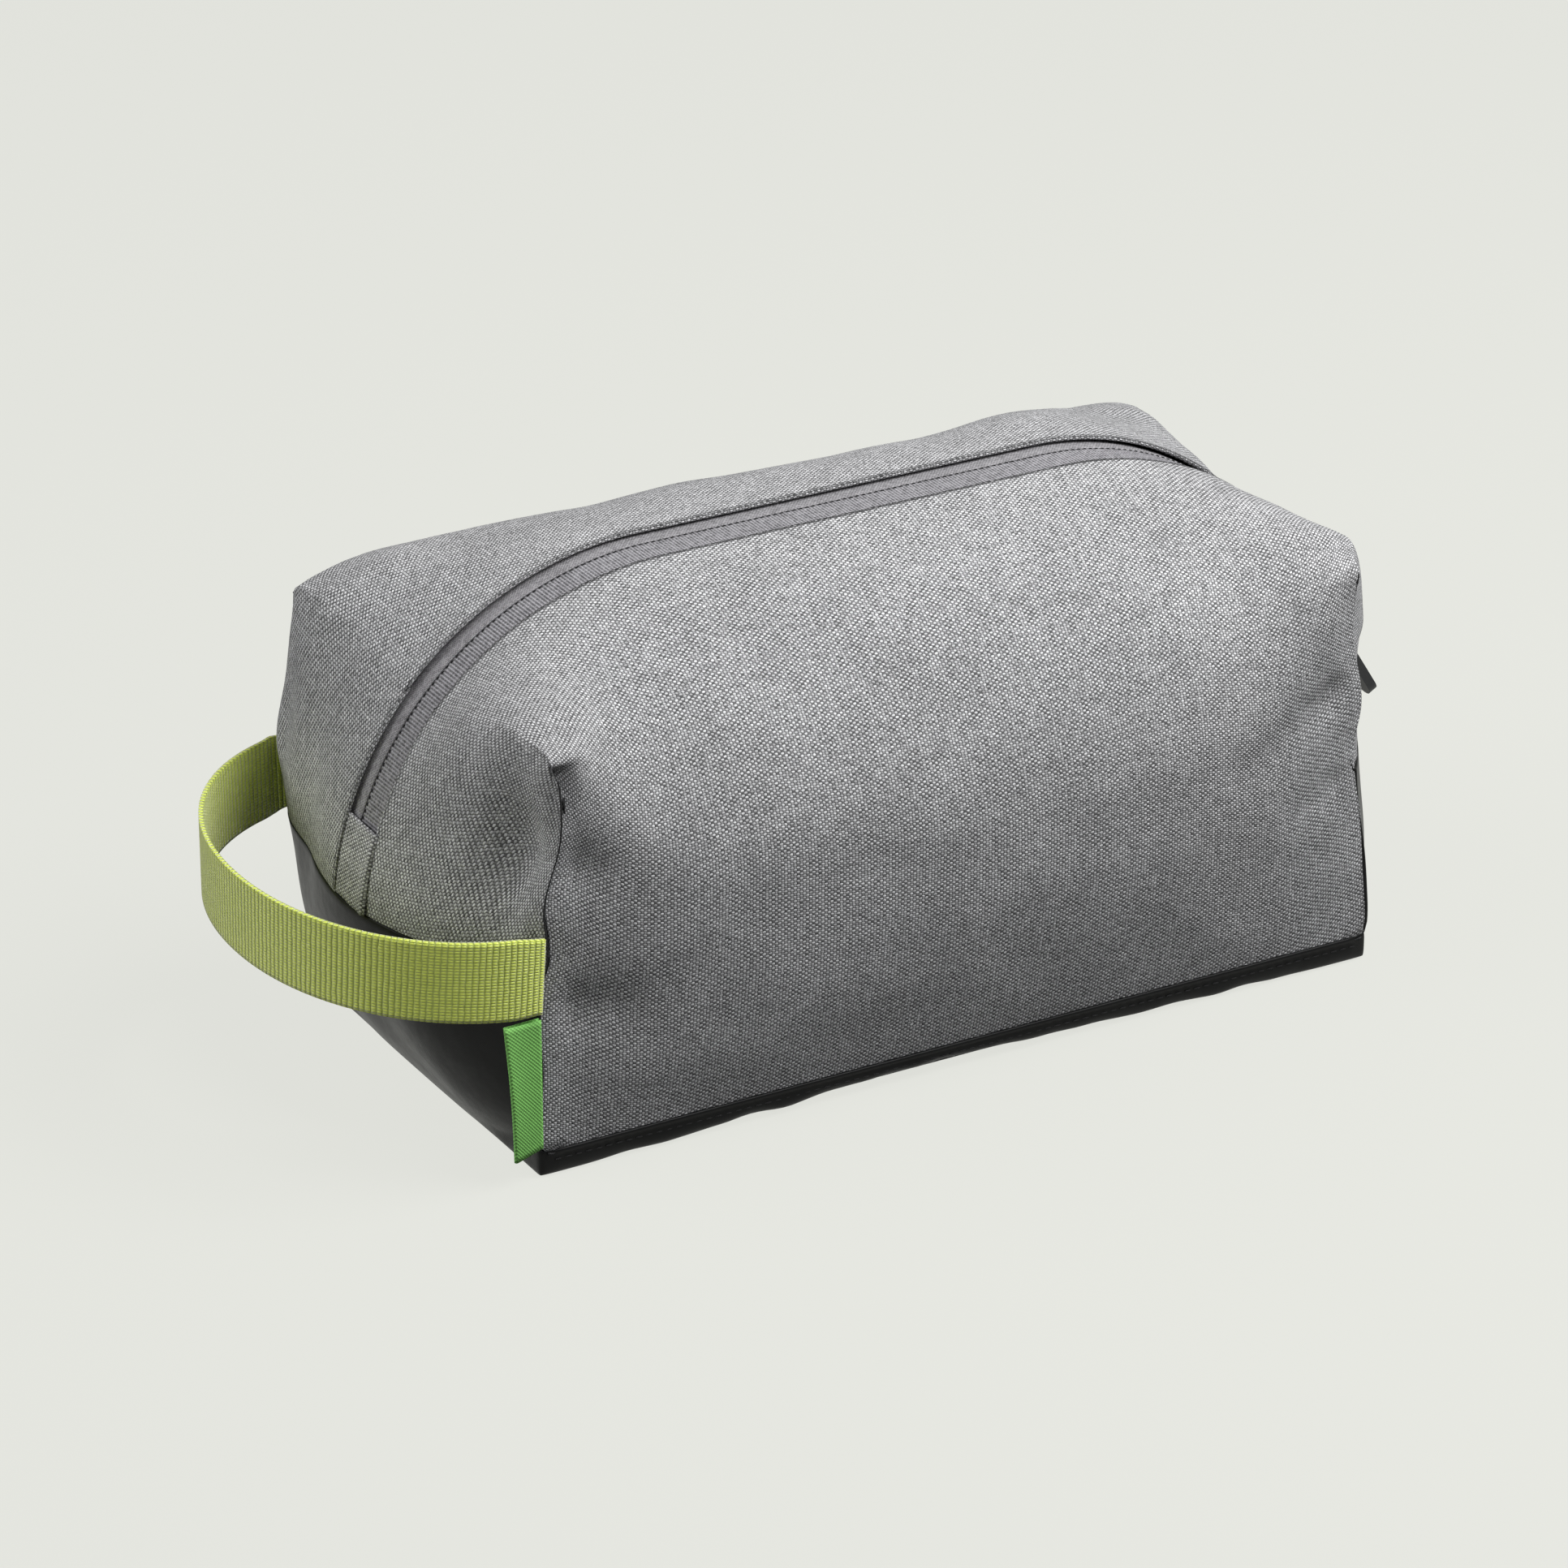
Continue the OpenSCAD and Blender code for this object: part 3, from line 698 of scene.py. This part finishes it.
def cloth_side(s):
    """Front or back in one piece, with its ends round to the middle of the bag."""
    bm = bmesh.new()
    grid(bm, *front_patch(s))
    for e in (-1, 1):
        grid(bm, *end_patch(s, e))
    bmesh.ops.remove_doubles(bm, verts=bm.verts, dist=FINE)
    tips = [Vector((e*HALF_L, s*0.067, roof_edge(HALF_L))) for e in (-1, 1)]

    def ridge(p):
        tip = min((p - t).length for t in tips)
        return (ramp(tip, 0.004, 0.020)*ramp(abs(p.y) - EDGE[s], 0.001, 0.012)*ramp(abs(p.x), 0.100, 0.115)
                * ramp(p.z, 0.098, 0.112)*ramp(abs(p.y), 0.0675, 0.060))

    relax(bm, ridge, 45)
    bm.normal_update()
    marks = bm.verts.layers.int["mark"]
    moved = [settle(v.co, v.normal, s, v[marks]) for v in bm.verts]
    for v, co in zip(bm.verts, moved):
        v.co = co
    # Slot 2 is the near-black painted shade in the seam crevices of the turned-in edges
    piece = mesh_object(WORD[s] + "_cloth", bm, GREY, LINING, SEAM_SHADE, LINING, weld=0)
    thicken(piece, CLOTH_T, lining=1)
    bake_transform(piece)
    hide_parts(WORD[s] + "_panel", WORD[s] + "_flap")


# Black base: bottom, narrow strips and both ends turned up

# Section of the strip: height and distance out from the seam, from the fold to the lip
STRIP_Z = (0.0, 0.0012, 0.0028, 0.0046, 0.0060, 0.0067, 0.0075, 0.0082, 0.0085, 0.0080, 0.0070)
STRIP_OUT = (0.0, 0.0005, 0.0008, 0.0008, 0.0005, 0.0006, 0.0012, 0.0011, 0.0005, 0.0, -0.0004)


def base_cloth():
    """Bottom, strips and turned-up ends in one piece, with folded upper edges."""
    bm = bmesh.new()
    xs, ys = graded(HALF_L, 140), graded(HALF_D, 56)

    def strip_point(x, k, s):
        inner = ramp(HALF_L - abs(x), 0.0, 0.006)
        short = 0.0024*(1 - inner) if k > 7 else 0
        return Vector((x - math.copysign(short, x), s*(HALF_D + STRIP_OUT[k]*inner), STRIP_Z[k]))

    def end_point(e, y, z):
        r = min(1, ((abs(y)/HALF_D)**4 + (max(0, SIDE - z)/SIDE)**4)**0.25)
        return Vector((e*(HALF_L + swell(r)), y, z))

    for s in (-1, 1):
        cols = [[strip_point(x, k, s) for k in range(len(STRIP_Z))][::-1] for x in xs]
        grid(bm, cols, [[(x, p.z) for p in col] for x, col in zip(xs, cols)], s < 0)
    bottom = [[Vector((x, y, 0)) for y in ys] for x in xs]
    grid(bm, bottom, [[(p.x, p.y) for p in col] for col in bottom], True)
    levels = list(STRIP_Z[:8]) + list(np.linspace(STRIP_Z[7], BLACK_TOP, 30)[1:])
    for e in (-1, 1):
        cols = []
        for y in ys:
            col = [end_point(e, y, z) for z in levels]
            top = col[-1]
            col += [top + Vector((-e*0.0004, 0, 0.0004)), top + Vector((-e*0.0014, 0, 0.0008)),
                    top + Vector((-e*0.0022, 0, 0.003)), top + Vector((-e*0.0026, 0, 0.006))]
            cols.append(col[::-1])
        grid(bm, cols, [[(p.y, p.z) for p in col] for col in cols], e > 0)
    bmesh.ops.remove_doubles(bm, verts=bm.verts, dist=FINE)

    def folded_edge(p):
        corner = math.hypot(HALF_L - min(abs(p.x), HALF_L), HALF_D - min(abs(p.y), HALF_D))
        foot = ramp(p.z, 0.0050, 0.0015)*ramp(min(HALF_L - abs(p.x), HALF_D - abs(p.y)), 0.012, 0.004)
        return max(foot, ramp(corner, 0.008, 0.003)*ramp(p.z, 0.0140, 0.0095))

    relax(bm, folded_edge, 5)
    bm.normal_update()
    for v in bm.verts:
        p = v.co
        low = ramp(p.z, 0.0075, 0.0)*ramp(HALF_D - abs(p.y), 0.010, 0.002)
        low *= ramp(HALF_L - abs(p.x), 0.006, 0.045)
        lift = low*(0.0026*bump((p.x + 0.012)/0.060) + 0.0005*(1 + noise.noise(Vector((p.x*48, 3, 0)))))
        dent = 0.0009*noise.noise(Vector((p.x*75, math.copysign(5, p.y), p.z*90)))*low
        if abs(p.x) > HALF_L - 0.0001:
            dent += 0.0009*noise.noise(Vector((p.x*20, p.y*45, p.z*45)))*ramp(p.z, 0.0, 0.02)
        v.co = p + v.normal*dent + Vector((lean(p), 0, lift))
    piece = mesh_object("base_cloth", bm, BLACK, BACKING, weld=0)
    thicken(piece, COATED_T, lining=1)
    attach(piece, "bag")
    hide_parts("base_panel")


# Zip

# Height of its ends, depth of tape and coil below the cloth
ZIP_END, TAPE_DEPTH, COIL_DEPTH = 0.084, 0.0018, 0.0031
# Pitch of coil and stitches, radius of the coil's wire
COIL_PITCH, STITCH_PITCH, WIRE = 0.0013, 0.0021, 0.00033
# Angle of the ends on their shoulders, length of a shoulder and of the whole arch
ZIP_LOW = math.asin((ZIP_END - ARC_Z)/RADIUS)
SHOULDER = RADIUS*(math.pi/2 - ZIP_LOW)
ARCH = 2*SHOULDER + 2*ARC_X


def arch_point(t, depth):
    """Point at a share of the way along the arch, from the left end to the right, with its normal."""
    d = t*ARCH
    r = RADIUS - depth
    if d < SHOULDER:
        f = ZIP_LOW + d/RADIUS
        n = Vector((-math.cos(f), 0, math.sin(f)))
        return Vector((-ARC_X, 0, ARC_Z)) + n*r, n
    if d <= SHOULDER + 2*ARC_X:
        return Vector((-ARC_X + d - SHOULDER, 0, ARC_Z + r)), Vector((0, 0, 1))
    f = math.pi/2 - (d - SHOULDER - 2*ARC_X)/RADIUS
    n = Vector((math.cos(f), 0, math.sin(f)))
    return Vector((ARC_X, 0, ARC_Z)) + n*r, n


def zip_half(s):
    """One tape and its half of the coil."""
    bm = bmesh.new()
    outer = EDGE[s] + 0.003
    ys = np.linspace(0.0004, outer, 13)
    cols, flat = [], []
    for t in np.linspace(0, 1, 181):
        col = []
        for y in ys:
            p, _ = arch_point(t, TAPE_DEPTH + 0.0005*ramp(s*y, 0.001, 0.006))
            col.append(Vector((p.x, s*y, p.z)))
        cols.append(col)
        flat.append([(t*ARCH, y) for y in ys])
    grid(bm, cols, flat, s < 0)
    piece = mesh_object(WORD[s] + "_tape", bm, TAPE_RIB if s < 0 else TAPE)
    thicken(piece, TAPE_T)
    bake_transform(piece)
    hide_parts(WORD[s] + "_zip_tape")

    bm = bmesh.new()
    turns, sides, ring = int(ARCH/COIL_PITCH), 8, 5
    cols = []
    for k in range(turns*sides + 1):
        t = k/(turns*sides)
        f = 2*math.pi*k/sides
        p, n = arch_point(t, COIL_DEPTH)
        c = Vector((p.x, s*(0.0016 + 0.0010*math.cos(f)), p.z)) + n*(0.00055*math.sin(f))
        side = Vector((0, s*math.cos(f), 0)) + n*math.sin(f)
        along = Vector((n.z, 0, -n.x))
        cols.append([c + WIRE*(math.cos(g)*side + math.sin(g)*along)
                     for g in np.linspace(0, 2*math.pi, ring + 1)])
    grid(bm, cols, [[(k*0.0002, m*0.0002) for m in range(ring + 1)] for k in range(len(cols))], s < 0)
    piece = mesh_object(WORD[s] + "_coil", bm, COIL, weld=0.000002)
    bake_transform(piece)
    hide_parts(WORD[s] + "_zip_coil")


def capsules(name, places, radius, material):
    """Stitches: short rounded threads, each between two points."""
    bm = bmesh.new()
    layer = bm.loops.layers.uv.verify()
    for a, b in places:
        axis = b - a
        turn = axis.to_track_quat("Z", "Y").to_matrix().to_4x4()
        turn.translation = (a + b)/2
        made = bmesh.ops.create_uvsphere(bm, u_segments=6, v_segments=6, radius=1.0)["verts"]
        for v in made:
            v.co = turn @ Vector((v.co.x*radius, v.co.y*radius, v.co.z*axis.length/2))
    for face in bm.faces:
        face.smooth = True
        for loop in face.loops:
            loop[layer].uv = (loop.vert.co.x, loop.vert.co.z)
    return mesh_object(name, bm, material, weld=0)


def zip_dashes():
    """The row of stitches that shows beside the coil."""
    places = []
    n = int(ARCH/STITCH_PITCH)
    shift = Vector((0, -0.0008, 0))
    for k in range(n):
        a, _ = arch_point((k + 0.18)/n, TAPE_DEPTH)
        b, _ = arch_point((k + 0.78)/n, TAPE_DEPTH)
        places.append((a + shift, b + shift))
    piece = capsules("zip_stitches", places, 0.00032, THREAD)
    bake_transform(piece)


# Heights of an end tab's lower and upper edge
TAB_LOW, TAB_TOP = 0.0642, 0.088


def end_tab(e, word):
    """Short tab over the end of the zip, sunk towards the back and turned down at the front."""
    bm = bmesh.new()
    lo, hi = -EDGE[-1] - 0.0016, EDGE[1] - 0.0003
    f0, f1 = math.asin((TAB_LOW - ARC_Z)/RADIUS), math.asin((TAB_TOP - ARC_Z)/RADIUS)
    cols, flat = [], []
    for y in np.linspace(lo, hi, 15):
        col = []
        d = 0.0007*ramp(y, lo + 0.004, hi) - 0.0004*ramp(y, lo + 0.004, lo + 0.0012)
        d += 0.0009*ramp(y, lo + 0.0012, lo)
        for f in np.linspace(f0, f1, 21):
            n = Vector((e*math.cos(f), 0, math.sin(f)))
            col.append(Vector((e*ARC_X, y, ARC_Z)) + n*(RADIUS - d))
        top = col[-1]
        n = Vector((e*math.cos(f1), 0, math.sin(f1)))
        col += [top - n*0.0004 + Vector((-e*math.sin(f1), 0, math.cos(f1)))*0.0003, top - n*0.0009]
        cols.append(col)
        flat.append([(y, p.z*1.1) for p in col])
    grid(bm, cols, flat, e < 0)
    piece = mesh_object(word + "_tab_cloth", bm, GREY)
    thicken(piece, TAB_T)
    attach(piece, "bag")
    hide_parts(word + "_end_tab")


# Handle and label

# Reach of the loop out from its seams, half its depth, and its squareness
HANDLE_REACH, HANDLE_HALF, HANDLE_ROUND = 0.0602, 0.0713, 2.05


def handle_line(f):
    """Middle line of the webbing, from the front seam round to the back one."""
    u, w = round_square(-math.pi/2 + math.pi*f, HANDLE_ROUND)
    x = -0.1385 - 0.0015*f - HANDLE_REACH*w - 0.0076*ramp(f, 0.90, 1.0)
    return Vector((x, HANDLE_HALF*u, 0.0640 + 0.0075*f + 0.0015*math.sin(math.pi*f)))


def handle():
    """Webbing along its middle line, upright, a little narrower where it is sewn in."""
    bm = bmesh.new()
    steps, wide = 120, 20
    cols, flat, run, last = [], [], 0, None
    for k in range(steps + 1):
        f = k/steps
        p = handle_line(f)
        run += (p - last).length if last else 0
        last = p
        t = (handle_line(min(1, f + 0.004)) - handle_line(max(0, f - 0.004))).normalized()
        up = (Vector((0, 0, 1)) - t*t.z).normalized()
        half = 0.0123 - 0.0008*ramp(min(f, 1 - f), 0.05, 0.0)
        cols.append([p + up*w for w in np.linspace(half, -half, wide + 1)])
        flat.append([(run, w) for w in np.linspace(WEB_W/2, -WEB_W/2, wide + 1)])
    grid(bm, cols, flat, False)
    piece = mesh_object("handle_webbing", bm, LIME)
    thicken(piece, WEB_T, offset=0)
    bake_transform(piece)
    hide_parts("handle")


def label():
    """Folded label: out from the seam, round its fold and back."""
    bm = bmesh.new()
    lo, hi, wide, bend = 0.0100, 0.0505, 0.0115, 0.0005
    straight = np.linspace(0, wide - 0.0006, 12)
    line = [(x, -bend) for x in straight]
    for f in np.radians(np.linspace(-90, 90, 9)[1:-1]):
        line.append((straight[-1] + bend*math.cos(f), bend*math.sin(f)))
    line += [(x, bend) for x in straight[::-1]]
    cols, flat, run, last = [], [], 0, None
    for x, y in line:
        run += math.dist((x, y), last) if last else 0
        last = (x, y)
        col = []
        for z in np.linspace(hi, lo, 25):
            up = (z - lo)/(hi - lo)
            bow = 0.0012*math.sin(up*math.pi)*(x/wide)**2
            drop = 0.0025*(1 - up)*(x/wide)
            col.append(Vector((-0.1393 - x*(0.76 + 0.24*up), -0.0704 + y - bow - 0.03*x, z - drop)))
        cols.append(col)
        flat.append([(run, p.z) for p in col])
    grid(bm, cols, flat, True)
    piece = mesh_object("label_fold", bm, LABEL)
    thicken(piece, LABEL_T)
    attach(piece, "label")
    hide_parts("label_tab")


# Binding inside, one strip for each CAD strip

# Width and half thickness of a strip, and its section in these measures
BIND_WIDE, BIND_HALF = 0.0085, 0.0006
BIND_SHAPE = ((0, -1), (0.9, -1), (1, -0.5), (1, 0.5), (0.9, 1), (0, 1))
# Place of the corner strips, and of the strip along the base and across an end: half length, distance, height
CORNER_X, CORNER_Y = 0.1379, 0.0679
BASE_SEAM, END_SEAM = (0.123, 0.0684, 0.00925), (0.055, HALF_L - 0.0018, 0.0624)
UP = Vector((0, 0, 1))


def dented(q):
    """A point inside a seam, moved with the hollow of the end cloth over it."""
    e = math.copysign(1, q.x)
    over = Vector((e*(HALF_L + swell(abs(q.y)/HALF_D)), q.y, q.z))
    return q - Vector((e*hollow(over), 0, 0))


def binding(node, name, body, lines, step=0.004):
    """Folded strips, each along a line of places: a point, the way of its width, the way of its thickness."""
    bm = bmesh.new()
    for line, flip in lines:
        cols = []
        for p, side, up in line:
            cols.append([dented(p + side*(a*BIND_WIDE) + up*(b*BIND_HALF)) for a, b in BIND_SHAPE])
        grid(bm, cols, [[(k*step, m*0.002) for m in range(len(BIND_SHAPE))] for k in range(len(cols))], flip)
    piece = mesh_object(name, bm, BINDING)
    thicken(piece, BIND_T)
    if body == "bag":
        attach(piece, "bag")
    else:
        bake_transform(piece)
    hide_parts(node)


def corner_line(e, s, levels):
    """Places up an upright seam, where the filled bag draws it, with the width towards the middle."""
    side = Vector((-e, -s, 0)).normalized()
    up = Vector((-side.y, side.x, 0))
    line = []
    for z in levels:
        p = Vector((e*CORNER_X, s*CORNER_Y, z))
        line.append((p + Vector((lean(p) - e*0.0012, -s*0.0012, 0)), side, up))
    return line, e*s < 0


def bindings():
    """Strips along the base, up the corners, up the darts and across the ends."""
    half, y, z = BASE_SEAM
    for s in (-1, 1):
        line = [(Vector((x, s*y, z)), Vector((0, -s, 0)), UP) for x in np.linspace(-half, half, 60)]
        node = WORD[s] + "_base_binding"
        binding(node, node + "_strip", "bag", [(line, s > 0)])
        for e, word in ((-1, "left"), (1, "right")):
            node = f"{WORD[s]}_{word}_corner_binding"
            binding(node, node + "_strip", "bag", [corner_line(e, s, np.linspace(0.011, 0.082, 30))])
        darts = [corner_line(e, s, np.linspace(0.086, 0.1143, 16)) for e in (-1, 1)]
        binding(WORD[s] + "_dart_bindings", WORD[s] + "_dart_strips", LID[s], darts, step=0.002)
    half, x, z = END_SEAM
    for e, word in ((-1, "left"), (1, "right")):
        line = []
        for y in np.linspace(-half, half, 40):
            p = Vector((e*(x + swell(abs(y)/HALF_D*1.02)), y, z))
            line.append((p + Vector((lean(p), 0, 0)), Vector((-e, 0, 0)), UP))
        node = word + "_end_binding"
        binding(node, node + "_strip", "bag", [(line, e < 0)])


def strip_stitches():
    """A row of stitches along each strip of the base."""
    places = []
    count, half, length = 84, 0.136, 0.0023
    for s in (-1, 1):
        for k in range(count):
            a = Vector((-half + 2*half*(k + 0.15)/count, s*(HALF_D + 0.0007), 0.0052))
            places.append((a, a + Vector((length, 0, 0))))
    piece = capsules("base_stitches", places, 0.00028, THREAD)
    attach(piece, "bag")


base_cloth()
for s in (-1, 1):
    cloth_side(s)
    zip_half(s)
zip_dashes()
end_tab(-1, "left")
end_tab(1, "right")
handle()
label()
bindings()
strip_stitches()

for name, material, slot, width in (("zip_slider", METAL, "slider_metal", 0.0004),
                                    ("zip_puller", RUBBER, "puller_rubber", 0.0008)):
    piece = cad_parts[name]
    piece.data.materials.clear()
    piece.data.materials.append(material)
    m = piece.modifiers.new("edges", "BEVEL")
    m.width, m.segments, m.limit_method = width, 3, "ANGLE"


# Floor, light and camera

# Floor as the camera sees it, floor as the bag sees it, glow of the pale stage
PALE, SHADE, GLOW = (0.060, 0.0605, 0.0565, 1), (0.05, 0.05, 0.048, 1), (1.0, 1.01, 0.95, 1)
# Colour and strength of the light all round
ROOM, ROOM_LIGHT = (1.0, 1.0, 0.985, 1), 0.09
# Point that the camera looks at, its distance, its turn and rise in degrees, its lens
AIM, AWAY = Vector((-0.0208, 0, 0.0664)), 2.031
TURN, CLIMB, LENS = -29.73, 25.24, 158.95


def seen(c):
    """1 where a ray comes from the camera or off a shiny face, so that these meet the pale stage."""
    path = c.any.make("LightPath")
    names = ("Is Camera Ray", "Is Glossy Ray", "Is Transmission Ray")
    kinds = [Sock(c.any.tree, path.out.node.outputs[n]) for n in names]
    return (kinds[0] + kinds[1] + kinds[2]).clamp()


bm = bmesh.new()
bmesh.ops.create_grid(bm, x_segments=1, y_segments=1, size=6)
floor_cloth = Cloth("floor", Roughness=0.9, Emission_Strength=0.72, Specular_IOR_Level=0.0)
floor_cloth.color(seen(floor_cloth).mix(SHADE, PALE))
glow = seen(floor_cloth).mix((0, 0, 0, 1), GLOW)
floor_cloth.any.tree.links.new(glow.out, floor_cloth.shader.inputs["Emission Color"])
floor = mesh_object("floor", bm, floor_cloth.material, weld=0)
floor.location.z = -0.0002

scene = bpy.context.scene
scene.view_settings.view_transform = "Standard"
world = bpy.data.worlds.new("studio")
scene.world = world
world.use_nodes = True
world.node_tree.nodes["Background"].inputs[0].default_value = ROOM
world.node_tree.nodes["Background"].inputs[1].default_value = ROOM_LIGHT


def towards(azimuth, elevation):
    """Direction from the bag, in degrees round from the front to the right, and up."""
    a, e = math.radians(azimuth), math.radians(elevation)
    return Vector((math.sin(a)*math.cos(e), -math.cos(a)*math.cos(e), math.sin(e)))


def face_back(thing, direction):
    """Turn a lamp or the camera to look back along a direction, and put it in the scene."""
    thing.rotation_mode = "QUATERNION"
    thing.rotation_quaternion = direction.to_track_quat("Z", "Y")
    scene.collection.objects.link(thing)


def sun(name, azimuth, elevation, strength, angle):
    """A broad soft lamp from one side."""
    data = bpy.data.lights.new(name, "SUN")
    data.energy, data.angle = strength, math.radians(angle)
    face_back(bpy.data.objects.new(name, data), towards(azimuth, elevation))


sun("rim", azimuth=-116, elevation=30, strength=1.35, angle=50)
sun("fill", azimuth=-60, elevation=15, strength=0.22, angle=50)

softbox = bpy.data.objects.new("softbox", bpy.data.lights.new("softbox", "AREA"))
softbox.data.shape, softbox.data.size, softbox.data.energy = "DISK", 0.9, 18.0
softbox.location = (0.50, -0.46, 1.06)
face_back(softbox, softbox.location - Vector((0, 0, 0.07)))

camera = bpy.data.objects.new("camera", bpy.data.cameras.new("camera"))
view = towards(TURN, CLIMB)
camera.location = AIM + view*AWAY
face_back(camera, view)
camera.data.sensor_width = 36
camera.data.lens = LENS
scene.camera = camera
